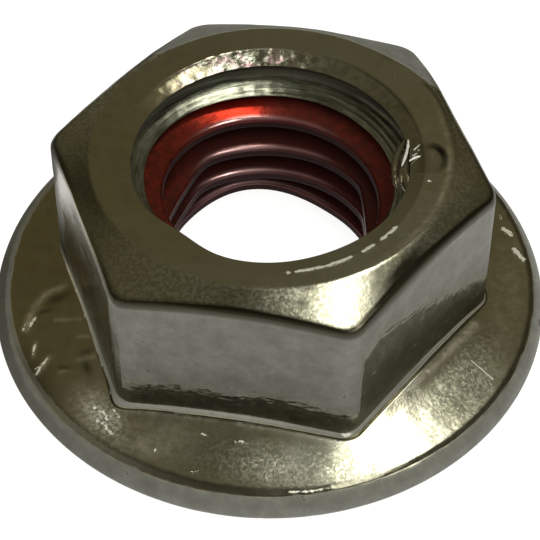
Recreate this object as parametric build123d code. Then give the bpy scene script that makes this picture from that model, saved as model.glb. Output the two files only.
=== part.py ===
"""Serrated flange nut, M12 x 1.75, with a screw-lock wire thread insert.

Millimetres. The bearing face lies on z = 0 and the thread axis is Z, with two
corners of the hexagon on the X axis. The nut body is one cold-forged piece. The
insert is a coil of diamond-section wire that fills an oversize tapped hole and
gives the 12 mm thread, and a punch mark beside the hole keeps it from backing out.
"""
from build123d import *
from build123d.topology import SkipClean
import math
import os

os.makedirs("parts", exist_ok=True)

# ---- driving dimensions -------------------------------------------------------
THREAD_D = 12.0          # thread of the bolt that the nut takes
PITCH = 1.75
ACROSS_FLATS = 18.0      # wrench size, at the foot of the hexagon
FLANGE_D = 26.2
HEIGHT = 9.4
DRAFT_DEG = 1.0          # forging draft on the six flats
CORNER_R = 1.1           # rounding of the six vertical edges

TOP_LAND_D = 15.6        # flat ring round the hole on top
CHAMFER_DEG = 19.0       # wide turned chamfer from that ring down to the corners
MOUTH_DEPTH = 0.38       # countersink at the top of the hole
FOOT_DEPTH = 0.60        # countersink in the bearing face
COUNTERSINK_DEG = 58.0   # half of its included angle, from the axis

NOSE_R = 0.55            # rounding of the flange's rim, turned in straight steps
NOSE_Z = 0.86            # height of the rim's widest line
NOSE_STEPS_DEG = (-45, 0, 39, 78)
SADDLE = (10.4, 1.75)    # radius and height where the flange's upper side steepens
FOOT = (8.6, 2.28)       # and where it ends, inside the hexagon

TEETH = 36               # ratchet serrations in the bearing face
TOOTH_DEPTH = 0.42
TOOTH_LAND_DEG = 1.2     # flat left on each crest
TOOTH_INNER_R = 8.3
TOOTH_BACK_DEG = 12.0    # lean of the locking side of a tooth

# ---- thread geometry, worked out from the bolt's diameter and pitch ------------
SHARP_V = PITCH * math.cos(math.radians(30))       # height of a sharp 60 degree V
NOMINAL_R = THREAD_D / 2
CREST_R = NOMINAL_R - 5 / 8 * SHARP_V              # what the bolt's core runs in
HOLE_R = NOMINAL_R + 1 / 8 * SHARP_V               # drilled hole for the insert
ROOT_R = NOMINAL_R + 0.53 * SHARP_V                # bottom of the groove, two thirds of full depth
WIRE_HALF = 7 / 16 * PITCH                         # half the wire's widest part
FLANK = math.tan(math.radians(30))

# ---- where the insert lies -----------------------------------------------------
COIL_Z = 6.73            # middle of the first turn, a quarter turn from the X axis
TOP_END_DEG = 225.0      # where the wire is cut off at the top
QUARTER_TURNS = 15       # length of the coil
FOOT_END_DEG = TOP_END_DEG - 90 * QUARTER_TURNS
COIL_START_Z = COIL_Z + PITCH * (FOOT_END_DEG - 90) / 360
ROOT_GAP = 0.18          # between the wire's back and the bottom of the groove
CORE_R = 7.5             # outside of the tube that the groove is cut in

# ---- punch mark that holds the insert in ---------------------------------------
STAKE_DEG = 9.0
STAKE_R = 7.1            # distance of its middle from the axis
STAKE_ACROSS = 1.6
STAKE_ALONG = 2.3
STAKE_DEPTH = 0.30
BURR_OUT = 0.45          # how far the pushed metal stands into the hole
BURR_ALONG = 1.2         # its length outwards, most of it inside the body
BURR_DROP = 0.05         # its top lies just under the countersink
BURR_DEPTH = 0.9


UPWARD = (Align.CENTER, Align.CENTER, Align.MIN)


def countersink(depth, mouth_z, up):
    """Cone frustum that opens the hole by the countersink angle at one face."""
    flare = depth * math.tan(math.radians(COUNTERSINK_DEG))
    over = 0.5
    steep = over * math.tan(math.radians(COUNTERSINK_DEG))
    cone = Cone(HOLE_R, HOLE_R + flare + steep, depth + over, align=UPWARD)
    turn = 0 if up else 180
    return Pos(0, 0, mouth_z - depth if up else depth) * Rot(turn, 0, 0) * cone


def hexagon():
    """Drafted hexagon with rounded vertical edges."""
    sketch = RegularPolygon(ACROSS_FLATS / 2, 6, major_radius=False)
    sketch = fillet(sketch.vertices(), CORNER_R)
    return extrude(sketch, HEIGHT, taper=DRAFT_DEG)


def turned_envelope():
    """Everything under the flat ring and the chamfer cone, which trims the hexagon."""
    land_r = TOP_LAND_D / 2
    reach = ACROSS_FLATS
    drop = (reach - land_r) * math.tan(math.radians(CHAMFER_DEG))
    outline = Polyline((0, 0), (reach, 0), (reach, HEIGHT - drop), (land_r, HEIGHT), (0, HEIGHT), close=True)
    return revolve(Plane.XZ * make_face(outline), Axis.Z)


def flange():
    """Round flange: flat below, its rim rounded in straight steps, its upper side dished."""
    nose_x = FLANGE_D / 2 - NOSE_R
    nose = []
    for degrees in NOSE_STEPS_DEG:
        turn = math.radians(degrees)
        nose.append((nose_x + NOSE_R * math.cos(turn), NOSE_Z + NOSE_R * math.sin(turn)))
    bearing_r = nose[0][0] - nose[0][1]
    outline = Polyline((0, FOOT[1]), (0, 0), (bearing_r, 0), *nose, SADDLE, FOOT, close=True)
    return revolve(Plane.XZ * make_face(outline), Axis.Z)


def tooth_gap():
    """One notch of the ratchet: a long ramp on one side and a steep wall on the other.

    Its edges all run to the axis, so it gets wider and deeper towards the rim.
    """
    outer_r = FLANGE_D / 2 + 1
    width = outer_r * math.radians(360 / TEETH - TOOTH_LAND_DEG)
    back = TOOTH_DEPTH * math.tan(math.radians(TOOTH_BACK_DEG))
    plane = Plane(origin=(outer_r, 0, 0), x_dir=(0, 1, 0), z_dir=(1, 0, 0))
    mouth = plane * make_face(Polyline((0, 0), (width, 0), (width - back, TOOTH_DEPTH), close=True))
    notch = loft([Vertex(0, 0, 0), mouth])
    return notch - Cylinder(TOOTH_INNER_R, 4 * TOOTH_DEPTH)


def serrations():
    """All the notches, spaced evenly round the axis."""
    gap = tooth_gap()
    return [Rot(0, 0, 360 / TEETH * n) * gap for n in range(TEETH)]


def helical_sweep(outline, turns):
    """Sweep a section that lies in the XZ plane along a right-hand helix round Z."""
    path = Helix(PITCH, PITCH * turns, NOMINAL_R)
    return sweep(Plane.XZ * make_face(outline), path=path, is_frenet=True)


def tapped_core():
    """Tube round the hole with the helical groove in it, cut off at both faces.

    The groove is cut in a longer tube first, so that it runs out past both ends.
    """
    root = WIRE_HALF - (ROOT_R - NOMINAL_R) * FLANK
    outline = Polyline(
        (NOMINAL_R, -WIRE_HALF), (ROOT_R, -root), (ROOT_R, root), (NOMINAL_R, WIRE_HALF), close=True
    )
    turns_below = 2
    turns = turns_below + math.ceil((HEIGHT - COIL_START_Z) / PITCH) + 1
    groove = helical_sweep(outline, turns)
    groove = Pos(0, 0, COIL_START_Z - turns_below * PITCH) * Rot(0, 0, FOOT_END_DEG) * groove
    length = 2 * turns * PITCH
    tube = Cylinder(CORE_R, length) - Cylinder(HOLE_R, length)
    return (tube - groove) & Cylinder(CORE_R + 1, HEIGHT, align=UPWARD)


def stake_recess():
    """Oval dent left by the punch: the lower side of a bar with round ends."""
    bar_r = ((STAKE_ACROSS / 2) ** 2 + STAKE_DEPTH**2) / (2 * STAKE_DEPTH)
    straight = STAKE_ALONG - STAKE_ACROSS
    bar = Rot(90, 0, 0) * Cylinder(bar_r, straight)
    bar += [Pos(0, side * straight / 2, 0) * Sphere(bar_r) for side in (-1, 1)]
    return Rot(0, 0, STAKE_DEG) * Pos(STAKE_R, 0, HEIGHT + bar_r - STAKE_DEPTH) * bar


def stake_burr():
    """Metal that the punch pushed into the mouth of the hole, above the insert."""
    top = Plane.XY.offset(HEIGHT - MOUTH_DEPTH - BURR_DROP)
    lobe = extrude(top * Ellipse(BURR_ALONG / 2, STAKE_ALONG / 2), -BURR_DEPTH)
    return Rot(0, 0, STAKE_DEG) * Pos(HOLE_R + BURR_ALONG / 2 - BURR_OUT, 0, 0) * lobe


def nut_body():
    """The forged body: hexagon on a flange, tapped, serrated and staked."""
    blank = (hexagon() & turned_envelope()) + flange()
    blank -= Cylinder(CORE_R, 3 * HEIGHT)
    body = blank + tapped_core()
    body -= countersink(MOUTH_DEPTH, HEIGHT, up=True)
    body -= countersink(FOOT_DEPTH, 0, up=False)
    return body - serrations() + stake_burr() - stake_recess()


def quarter_turn():
    """A quarter turn of the wire, its inner edge trimmed to the thread's core diameter."""
    spare = 0.1
    front_r = CREST_R - spare
    back_r = ROOT_R - ROOT_GAP
    front = WIRE_HALF - (NOMINAL_R - front_r) * FLANK
    back = WIRE_HALF - (back_r - NOMINAL_R) * FLANK
    outline = Polyline(
        (front_r, -front), (NOMINAL_R, -WIRE_HALF), (back_r, -back),
        (back_r, back), (NOMINAL_R, WIRE_HALF), (front_r, front), close=True,
    )
    return helical_sweep(outline, 1 / 4) - Cylinder(CREST_R, 4 * PITCH)


def locking_wire_insert():
    """Coil of diamond-section wire: its back fills the groove, its front is the thread."""
    piece = quarter_turn()
    pieces = [Pos(0, 0, PITCH / 4 * n) * Rot(0, 0, 90 * n) * piece for n in range(QUARTER_TURNS)]
    with SkipClean():
        coil = pieces[0].fuse(*pieces[1:])
    return Pos(0, 0, COIL_START_Z) * Rot(0, 0, FOOT_END_DEG) * coil


if __name__ == "__main__":
    export_step(nut_body(), "parts/nut_body.step")
    export_step(locking_wire_insert(), "parts/locking_wire_insert.step")
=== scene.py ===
"""Looks of the serrated flange nut and of the red wire insert in its hole.

Shapes are worked out in millimetres and become metres when a piece is made. The bearing
face lies on z = 0 and the thread axis is Z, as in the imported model.
"""

from math import atan2, cos, degrees, hypot, pi, radians, sin, tan

import bpy
import numpy as np
from mathutils import Matrix, Vector, noise


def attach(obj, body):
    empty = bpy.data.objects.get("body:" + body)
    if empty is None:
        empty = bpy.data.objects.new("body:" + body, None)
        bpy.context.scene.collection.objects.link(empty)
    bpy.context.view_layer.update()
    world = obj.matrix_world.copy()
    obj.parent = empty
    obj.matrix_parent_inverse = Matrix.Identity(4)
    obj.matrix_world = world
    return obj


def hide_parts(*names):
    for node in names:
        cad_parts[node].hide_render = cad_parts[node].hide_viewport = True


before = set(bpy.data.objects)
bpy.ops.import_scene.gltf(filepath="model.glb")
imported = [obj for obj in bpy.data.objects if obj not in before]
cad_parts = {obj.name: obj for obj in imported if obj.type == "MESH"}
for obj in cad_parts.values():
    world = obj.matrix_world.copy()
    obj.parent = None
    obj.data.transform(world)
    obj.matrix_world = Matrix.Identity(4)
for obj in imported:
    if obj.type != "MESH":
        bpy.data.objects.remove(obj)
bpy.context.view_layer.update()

MM = 0.001

# ---- sizes, as in the part's source ----
PITCH = 1.75
ACROSS_FLATS = 18.0
FLANGE_R = 13.1
HEIGHT = 9.4
DRAFT = tan(radians(1.0))
CORNER_R = 1.1
CHAMFER = tan(radians(19.0))
MOUTH_DEPTH = 0.38
FOOT_DEPTH = 0.60
COUNTERSINK = tan(radians(58.0))
TEETH = 36
TOOTH_DEPTH = 0.42
TOOTH_STEP_DEG = 360 / TEETH
TOOTH_LAND_DEG = 1.2
TOOTH_RAMP_DEG = TOOTH_STEP_DEG - TOOTH_LAND_DEG
TOOTH_WALL_DEG = 0.12
TOOTH_INNER_R = 8.3
TOOTH_TOP_Z = 0.45

SHARP_V = PITCH * cos(radians(30))
NOMINAL_R = 6.0
CREST_R = 4.95
HOLE_R = NOMINAL_R + 1 / 8 * SHARP_V
ROOT_R = NOMINAL_R + 3 / 4 * SHARP_V
WIRE_HALF = 7 / 16 * PITCH
FLANK = tan(radians(30))
COIL_Z = 6.73
TOP_END_DEG = 225.0
COIL_TURNS = 3.75
FOOT_END_DEG = TOP_END_DEG - 360 * COIL_TURNS
COIL_START_Z = COIL_Z + PITCH * (FOOT_END_DEG - 90) / 360

MOUTH_R = HOLE_R + MOUTH_DEPTH * COUNTERSINK
FOOT_MOUTH_R = HOLE_R + FOOT_DEPTH * COUNTERSINK


# ---- small tools for shapes ----
def rise(x, low, high):
    """0 below low, 1 above high and a soft ramp between; the reverse if low is above high."""
    t = np.clip((x - low) / (high - low), 0, 1)
    return t * t * (3 - 2 * t)


def hump(off, wide):
    """1 where off is 0, fading softly over wide on both sides."""
    return np.exp(-((off / wide) ** 2))


def near(angles, middle, wide):
    """A soft hump that is 1 at an angle in degrees and fades over so many degrees."""
    return hump((np.degrees(angles) - middle + 180) % 360 - 180, wide)


def humps(angles, *places):
    """Soft humps added up, each given as amount, middle and half-width in degrees."""
    return sum(amount * near(angles, middle, wide) for amount, middle, wide in places)


def wavy(points, size, seed=0.0):
    """Smooth noise between about -1 and 1 at each point; size is that of its waves, in mm."""
    flat = points.reshape(-1, 3) / size + seed
    values = [noise.noise(Vector(p)) for p in flat]
    return np.array(values).reshape(points.shape[:-1])


def rounded_path(corners, cuts, straight_rows, round_rows):
    """Rows of (r, z) along a path with rounded corners, for all columns at once.

    corners holds a pair of arrays per corner. Each corner is cut back by its own length
    and gets round_rows rows; the straight run after it gets its number from straight_rows.
    """
    corners = [np.stack(np.broadcast_arrays(r, z), -1).astype(float) for r, z in corners]
    rows = []
    start = corners[0]
    for i in range(1, len(corners)):
        corner = corners[i]
        run = corner - start
        length = np.linalg.norm(run, axis=-1, keepdims=True)
        last = i == len(corners) - 1
        into = corner if last else corner - run / length * cuts[i]
        count = straight_rows[i - 1]
        for k in range(count):
            rows.append(start + (into - start) * k / count)
        if last:
            rows.append(corner)
            break
        away = corners[i + 1] - corner
        away = away / np.linalg.norm(away, axis=-1, keepdims=True)
        out = corner + away * cuts[i]
        for k in range(round_rows):
            t = k / round_rows
            rows.append((1 - t) ** 2 * into + 2 * t * (1 - t) * corner + t * t * out)
        start = out
    return rows


def round_axis(r, angles, z):
    """Points in space from their distance to the thread axis, angle and height."""
    r, angles, z = np.broadcast_arrays(r, angles, z)
    return np.stack([r * np.cos(angles), r * np.sin(angles), z], -1)


def r_and_z(points):
    """Distance to the thread axis and height of each point."""
    return np.hypot(points[..., 0], points[..., 1]), points[..., 2]


def revolve_rows(rows, angles):
    """Points in space of rows of (r, z), one row after another round the axis."""
    rows = np.array([np.broadcast_to(row, (len(angles), 2)) for row in rows])
    return round_axis(rows[..., 0], angles, rows[..., 1])


def grid_normals(points):
    """Outward normals of a grid whose columns close round the axis."""
    along = np.gradient(points, axis=0)
    across = np.roll(points, -1, axis=1) - np.roll(points, 1, axis=1)
    normals = np.cross(along, across)
    length = np.linalg.norm(normals, axis=-1, keepdims=True)
    return normals / np.maximum(length, 1e-9)


def grid_faces(rows, columns):
    """Quads of a grid whose last column joins the first."""
    row, column = np.meshgrid(np.arange(rows - 1), np.arange(columns), indexing="ij")
    after = (column + 1) % columns
    here = row * columns
    below = here + columns
    return np.stack([here + column, here + after, below + after, below + column], -1).reshape(-1, 4)


def tube_faces(rows, columns, start=0):
    """Faces of a tube of rings with a cap on both ends; start is its first point's number."""
    sides = grid_faces(rows, columns)[:, ::-1] + start
    last = start + (rows - 1) * columns
    return [*sides, range(start, start + columns), range(last, last + columns)[::-1]]


def add_object(name, data):
    """An object of the scene that shows a mesh, a light or the camera."""
    made = bpy.data.objects.new(name, data)
    bpy.context.scene.collection.objects.link(made)
    return made


def add_piece(name, points, finish, marks, faces=None, node="nut_body", sharp_deg=40):
    """One visible piece from points in mm, with a value per point for each mark.

    The points are a grid that closes round the axis, unless its faces are given.
    """
    if faces is None:
        faces = grid_faces(*points.shape[:2])
    mesh = bpy.data.meshes.new(name)
    corners = (points.reshape(-1, 3) * MM).tolist()
    mesh.from_pydata(corners, [], [list(map(int, face)) for face in faces])
    for mark, values in marks.items():
        layer = mesh.attributes.new(mark, "FLOAT", "POINT")
        values = np.broadcast_to(values, points.shape[:-1]).astype(np.float32)
        layer.data.foreach_set("value", values.ravel())
    mesh.shade_smooth()
    mesh.set_sharp_from_angle(angle=radians(sharp_deg))
    mesh.materials.append(finish)
    piece = add_object(name, mesh)
    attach(piece, "root")
    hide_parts(node)
    return piece


# ---- finishes ----
class Signal:
    """What a node gives out; arithmetic with it adds Math nodes to the same finish."""

    def __init__(self, finish, socket):
        self.finish = finish
        self.socket = socket

    def math(self, operation, first, second):
        return self.finish.node("Math", {"operation": operation}, {0: first, 1: second})

    def __add__(self, other):
        return self.math("ADD", self, other)

    def __radd__(self, other):
        return self.math("ADD", other, self)

    def __sub__(self, other):
        return self.math("SUBTRACT", self, other)

    def __rsub__(self, other):
        return self.math("SUBTRACT", other, self)

    def __mul__(self, other):
        return self.math("MULTIPLY", self, other)

    def __rmul__(self, other):
        return self.math("MULTIPLY", other, self)


class Finish:
    """A material that is built up node by node round one shader."""

    def __init__(self, name):
        self.material = bpy.data.materials.new(name)
        self.material.use_nodes = True
        self.tree = self.material.node_tree
        self.shader = self.tree.nodes["Principled BSDF"]

    def node(self, kind, settings=None, values=None, output=0):
        """Add a node: its settings first, then the values or links of its sockets."""
        made = self.tree.nodes.new("ShaderNode" + kind)
        for setting, value in (settings or {}).items():
            setattr(made, setting, value)
        for socket, value in (values or {}).items():
            self.feed(made.inputs[socket], value)
        return Signal(self, made.outputs[output])

    def feed(self, socket, value):
        """Link a signal to a socket, or set the socket's own value."""
        if isinstance(value, Signal):
            self.tree.links.new(value.socket, socket)
        else:
            socket.default_value = value

    def vector(self, operation, first, second=(0, 0, 0), output="Vector"):
        """A Vector Math node on two places or directions."""
        return self.node("VectorMath", {"operation": operation}, {0: first, 1: second}, output)

    def place(self, stretch=(1, 1, 1)):
        """Where a point lies on the object in mm, stretched along each axis."""
        spot = self.node("TexCoord", output="Object")
        return self.vector("MULTIPLY", spot, tuple(s / MM for s in stretch))

    def grain(self, per_mm, detail=3.0, rough=0.6, stretch=(1, 1, 1), distort=0.0):
        """Soft noise from 0 to 1 with so many waves per mm."""
        values = {"Vector": self.place(stretch), "Scale": per_mm, "Detail": detail}
        values.update({"Roughness": rough, "Distortion": distort})
        return self.node("TexNoise", None, values)

    def turned(self, around, across, rough=0.6):
        """Noise drawn out round the thread axis, with so many waves per mm each way."""
        spot = self.place()
        flat = self.vector("MULTIPLY", spot, (1, 1, 0))
        r = self.vector("LENGTH", flat, output="Value")
        way = self.vector("MULTIPLY", self.vector("NORMALIZE", flat), (NOMINAL_R * around,) * 3)
        spread = self.vector("ADD", way, self.vector("MULTIPLY", spot, (0, 0, across)))
        values = {"Vector": spread, "W": r * across, "Scale": 1.0, "Detail": 4.0, "Roughness": rough}
        return self.node("TexNoise", {"noise_dimensions": "4D"}, values)

    def scratch(self, start, end, half_width):
        """1 on a straight scratch between two places (x, y) in mm, as seen from above."""
        run = Vector(end) - Vector(start)
        way = run.normalized()
        away = self.vector("SUBTRACT", self.place(), (*start, 0))
        along = self.vector("DOT_PRODUCT", away, (way.x, way.y, 0), "Value")
        off = self.vector("DOT_PRODUCT", away, (-way.y, way.x, 0), "Value")
        between = self.ramp(along * (run.length - along), 0.0, 0.2)
        return between * self.ramp(0 - off * off, -half_width * half_width, 0.0)

    def mark(self, name):
        """A value that the piece's points carry."""
        return self.node("Attribute", {"attribute_name": name}, output="Fac")

    def ramp(self, value, low, high):
        """0 below low and 1 above high, with a straight ramp between."""
        limits = {"Value": value, "From Min": low, "From Max": high}
        return self.node("MapRange", {"clamp": True}, limits)

    def blend(self, amount, first, second):
        """A colour between two colours."""
        return self.node("Mix", {"data_type": "RGBA"}, {0: amount, 6: first, 7: second}, output=2)

    def finish(self, values, height=None):
        """Feed the shader, with the surface's fine relief from a height in mm."""
        for socket, value in values.items():
            self.feed(self.shader.inputs[socket], value)
        if height is not None:
            bump = self.node("Bump", None, {"Strength": 1.0, "Distance": MM, "Height": height})
            self.feed(self.shader.inputs["Normal"], bump)
        return self.material


# Scratches on the flange: half-width, then two places (x, y).
FLANGE_SCRATCHES = (
    (0.036, (9.94, -3.74), (11.09, -4.5)),
    (0.05, (9.96, -3.02), (10.1, -3.12)),
    (0.04, (10.89, -2.3), (11.14, -2.5)),
    (0.04, (11.11, -2.42), (11.17, -2.72)),
    (0.07, (1.75, -11.4), (2.0, -11.75)),
    (0.075, (1.9, -11.73), (2.14, -12.0)),
    (0.055, (1.97, -10.56), (2.22, -11.02)),
    (0.05, (2.44, -10.82), (2.7, -11.1)),
    (0.04, (3.19, -10.88), (3.38, -11.02)),
)


def plated_steel():
    """Bright plating with an olive cast: glossy where it was pressed, satin on the flats."""
    plating = Finish("plated_steel")
    blend, grain, ramp = plating.blend, plating.grain, plating.ramp
    satin, band, tone_and_painted_light, warm_painted_reflection = map(plating.mark, ("satin", "band", "tone_and_painted_light", "warm_painted_reflection"))
    grainy, torn, nick, frost, dull_and_painted_shade = map(plating.mark, ("grainy", "torn", "nick", "frost", "dull_and_painted_shade"))

    cloud = grain(0.5, detail=2.0, rough=0.55)
    mottle = grain(2.2, detail=5.0, rough=0.65)
    fine = grain(9.0, detail=4.0)
    sand = grain(6.0, detail=2.0)
    streaks = grain(1.5, detail=5.0, rough=0.68, stretch=(1, 1, 4.5))
    blots = grain(1.3)

    nick = ramp(nick + (grain(6.0) - 0.5) * 1.8, 0.45, 0.75)
    for half_width, start, end in FLANGE_SCRATCHES:
        nick = nick + plating.scratch(start, end, half_width) * (1 - satin) * 0.85
    swirl = grain(1.6, detail=5.0, rough=0.65, distort=1.5)
    broken = ramp(swirl, 0.38, 0.62) * (1 - grainy) + ramp(sand, 0.42, 0.60) * grainy
    frost = frost * (0.35 + broken * 0.9)
    ragged = band + (streaks - 0.5) * 2.0 + (mottle - 0.5) * 0.5
    matte = satin * ramp(ragged, -0.10, 0.25)
    gloss = satin - matte

    olive = blend(ramp(cloud, 0.35, 0.65), (0.50, 0.47, 0.33, 1), (0.56, 0.54, 0.42, 1))
    # Painted reflection: a browner tint on the left and right sides stands in for what those sides mirror
    # of the room; the dark brown blots in it are uneven tone.
    olive = blend(warm_painted_reflection, olive, (0.46, 0.37, 0.18, 1))
    olive = blend(ramp(mottle, 0.35, 0.70) * 0.35, olive, (0.42, 0.42, 0.33, 1))
    olive = blend(warm_painted_reflection * ramp(blots, 0.45, 0.65) * 0.30, olive, (0.22, 0.17, 0.09, 1))
    speckle = blend(ramp(sand, 0.42, 0.60), (0.24, 0.25, 0.18, 1), (0.68, 0.68, 0.56, 1))
    olive = blend(grainy * 0.75, olive, speckle)
    # Painted shade: the glossy band low on the flats is a real finish, but its colour is painted dark for
    # the dark room that it mirrors.
    painted_shade = blend(ramp(mottle, 0.3, 0.7), (0.09, 0.09, 0.07, 1), (0.17, 0.17, 0.13, 1))
    grey = blend(ramp(blots, 0.30, 0.70), (0.140, 0.140, 0.118, 1), (0.205, 0.205, 0.177, 1))
    grey = blend(ramp(mottle, 0.40, 0.70) * 0.45, grey, (0.125, 0.122, 0.103, 1))
    grey = blend(ramp(fine, 0.40, 0.70) * 0.4, grey, (0.135, 0.132, 0.112, 1))
    pits = ramp(grain(2.6, detail=2.0, rough=0.5), 0.71, 0.75) * matte
    grey = blend(pits * 0.8, grey, (0.05, 0.05, 0.045, 1))
    colour = blend(gloss, olive, painted_shade)
    colour = blend(matte, colour, grey)
    sheen = blend(ramp(blots, 0.42, 0.58), (0.72, 0.52, 0.52, 1), (0.70, 0.74, 0.60, 1))
    silver = blend(ramp(mottle, 0.44, 0.54), (0.20, 0.19, 0.14, 1), sheen)
    colour = blend(torn, colour, silver)
    # Painted light and shade: where the mark is above 0 the plating is painted lighter, as highlight, and
    # where it is below 0 darker, as shade and dark reflection; a little of it is real, uneven tone.
    colour = blend(ramp(tone_and_painted_light, 0.0, 1.0), colour, (0.80, 0.79, 0.71, 1))
    colour = blend(ramp(0 - tone_and_painted_light, 0.0, 1.0), colour, (0.045, 0.041, 0.027, 1))
    # Bright nicks and scratches, and also painted glints on the bead and along the mouth of the hole.
    colour = blend(nick * 0.75, colour, (0.80, 0.79, 0.68, 1))

    rough = 0.10 + mottle * 0.07 + matte * 0.36 + gloss * streaks * 0.20 + torn * 0.12 + grainy * 0.14
    rough = rough + (nick + frost) * 0.12 + dull_and_painted_shade * 0.45
    metallic = 1.0 - matte * 0.6 - (nick + frost) * (1 - matte) * 0.45 - dull_and_painted_shade * 0.35
    peel = mottle * 0.005 + fine * 0.0008 + sand * 0.0010
    height = peel * (1 - satin) + gloss * (streaks * 0.030 + fine * 0.002)
    height = height + matte * mottle * 0.010 - pits * 0.02
    height = height + grainy * sand * 0.0035 + nick * 0.012
    height = height + torn * grain(3.0, detail=4.0, rough=0.65, distort=0.6) * 0.03
    values = {"Base Color": colour, "Roughness": rough, "Metallic": metallic}
    values["Specular IOR Level"] = 0.12
    return plating.finish(values, height)


def tapped_steel():
    """Cut thread under the same plating, with marks that run round the hole."""
    cut = Finish("tapped_steel")
    rings = cut.turned(0.55, 9.0, rough=0.65)
    mottle = cut.grain(2.0, detail=4.0)
    colour = cut.blend(cut.ramp(rings, 0.36, 0.62), (0.13, 0.14, 0.10, 1), (0.50, 0.51, 0.41, 1))
    colour = cut.blend(cut.ramp(mottle, 0.45, 0.70) * 0.5, colour, (0.14, 0.14, 0.10, 1))
    # Painted light: the deep groove gets a flat, less metallic colour, so that the shade in it is lifted.
    tone_and_painted_light = cut.mark("tone_and_painted_light")
    colour = cut.blend(tone_and_painted_light, colour, (0.16, 0.145, 0.10, 1))
    # Painted shade: the flank is darkened away from its highlight.
    colour = cut.blend(cut.mark("thread_painted_shade"), colour, (0.075, 0.070, 0.050, 1))
    height = rings * 0.012 + mottle * 0.010
    values = {"Base Color": colour, "Roughness": 0.16 + rings * 0.14, "Metallic": 1 - tone_and_painted_light * 0.5}
    return cut.finish(values, height)


def dyed_wire():
    """Steel wire under a clear red dye: bright on its upper side, with painted highlights there, and nearly
    black further in, which is painted shade.
    """
    dye = Finish("dyed_wire")
    land, painted_shade, edge, worn, painted_red_highlight = map(dye.mark, ("land", "painted_shade", "edge", "worn", "painted_red_highlight"))
    mottle = dye.grain(2.5, detail=4.0)
    along = dye.turned(0.5, 7.0)
    dark = (0.12, 0.026, 0.017, 1)
    bright = (0.27, 0.036, 0.020, 1)
    colour = dye.blend(dye.ramp(mottle, 0.35, 0.68), dark, bright)
    # Painted highlight: a richer red where the top coil catches the light.
    colour = dye.blend(painted_red_highlight, colour, (0.34, 0.022, 0.010, 1))
    # Painted shade on the lower coils and further in.
    colour = dye.blend(painted_shade, colour, (0.050, 0.018, 0.015, 1))
    # A pale crest edge: partly worn dye and partly painted highlight, kept to where the light falls.
    colour = dye.blend(worn, colour, (0.66, 0.40, 0.39, 1))
    # Painted shade: the crest lands and undersides are nearly black, for the dark hole that they mirror.
    colour = dye.blend(land, colour, (0.022, 0.009, 0.009, 1))
    colour = dye.blend(edge, colour, (0.042, 0.028, 0.028, 1))
    height = along * 0.010 + mottle * 0.008
    values = {"Base Color": colour, "Roughness": 0.14 + along * 0.12 + land * 0.40}
    values["Metallic"] = (0.85 - painted_shade * 0.25) * (1 - land * 0.9 * (1 - edge))
    values["Coat Weight"] = (1 - land) * worn * 0.35
    values["Coat Roughness"] = 0.10
    values["Specular IOR Level"] = 0.05
    return dye.finish(values, height)


def pale_table():
    """The plain pale floor, lit from below as a light table is."""
    table = Finish("pale_table")
    values = {"Base Color": (0.30, 0.30, 0.295, 1), "Roughness": 0.9, "Specular IOR Level": 0.1}
    values.update({"Emission Color": (1.0, 1.0, 0.99, 1), "Emission Strength": 0.88})
    return table.finish(values)


# ---- nut body ----
def column_angles():
    """Angles of the columns, 20 per tooth, with one either side of each steep wall."""
    land = TOOTH_RAMP_DEG + np.array((0, 0.4, 0.8))
    inside = [*np.linspace(0, TOOTH_RAMP_DEG - TOOTH_WALL_DEG, 17), *land]
    return np.radians([tooth * TOOTH_STEP_DEG + angle for tooth in range(TEETH) for angle in inside])


def hexagon_r(angles, z):
    """Distance from the axis to the drafted hexagon with rounded corners, swollen at the back."""
    half_side = radians(30)
    flat = ACROSS_FLATS / 2 - DRAFT * z
    from_corner = np.radians(np.abs((np.degrees(angles) + 30) % 60 - 30))
    centre = (flat - CORNER_R) / cos(half_side)
    tangent = np.arctan2(CORNER_R / 2, centre + CORNER_R * cos(half_side))
    inside = np.maximum(CORNER_R**2 - (centre * np.sin(from_corner)) ** 2, 0)
    arc = centre * np.cos(from_corner) + np.sqrt(inside)
    r = np.where(from_corner < tangent, arc, flat / np.cos(half_side - from_corner))
    return r + humps(angles, (0.20, 52, 17), (0.16, 88, 17))


# The dished upper side of the flange, as a smooth line through these radii and heights.
FLANGE_LINE_R = (8.5, 9.2, 10.0, 10.8, 11.6, 12.2, 12.7)
FLANGE_LINE_Z = (2.31, 2.10, 1.87, 1.70, 1.57, 1.48, 1.40)
FLANGE_LINE = np.polyfit(FLANGE_LINE_R, FLANGE_LINE_Z, 3)
SHOULDER_R = 12.34
CREASE_OUT = 0.06
# The rim's section under its shoulder, as (r, z) down to the bearing face.
RIM_LINE = ((12.62, 1.37), (12.97, 0.98), (FLANGE_R, 0.62), (12.98, 0.30), (12.62, 0.0))
# Where the polished nose of the rim begins and where it is full.
NOSE_LIMITS = (12.52, 12.62)

TOP_Z = HEIGHT - 0.03
SEEN_FLANK = tan(radians(21))
MOUTH_FOOT_Z = TOP_Z - (MOUTH_R - HOLE_R) * tan(radians(23))
LAND_SHIFT = 0.42
LAND_EDGE_R = 8.05


def flange_z(r, angles=None):
    """Height of the upper side of the flange, which is the same at all angles."""
    return np.polyval(FLANGE_LINE, r)


def land_r(angles):
    """Edge of the flat top, which was turned a little off the axis, towards the back."""
    r = LAND_SHIFT * np.sin(angles) + np.sqrt(LAND_EDGE_R**2 - (LAND_SHIFT * np.cos(angles)) ** 2)
    return r + 0.20 * near(angles, 43, 14)


def chamfer_z(r, angles):
    """Height of the turned chamfer on the corners."""
    return TOP_Z - (r - land_r(angles)) * CHAMFER


def meet(angles, height_at):
    """Where the hexagon meets a surface, as (r, z) for each column."""
    z = np.full(len(angles), 5.0)
    for _ in range(8):
        z = height_at(hexagon_r(angles, z), angles)
    return hexagon_r(angles, z), z


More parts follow.
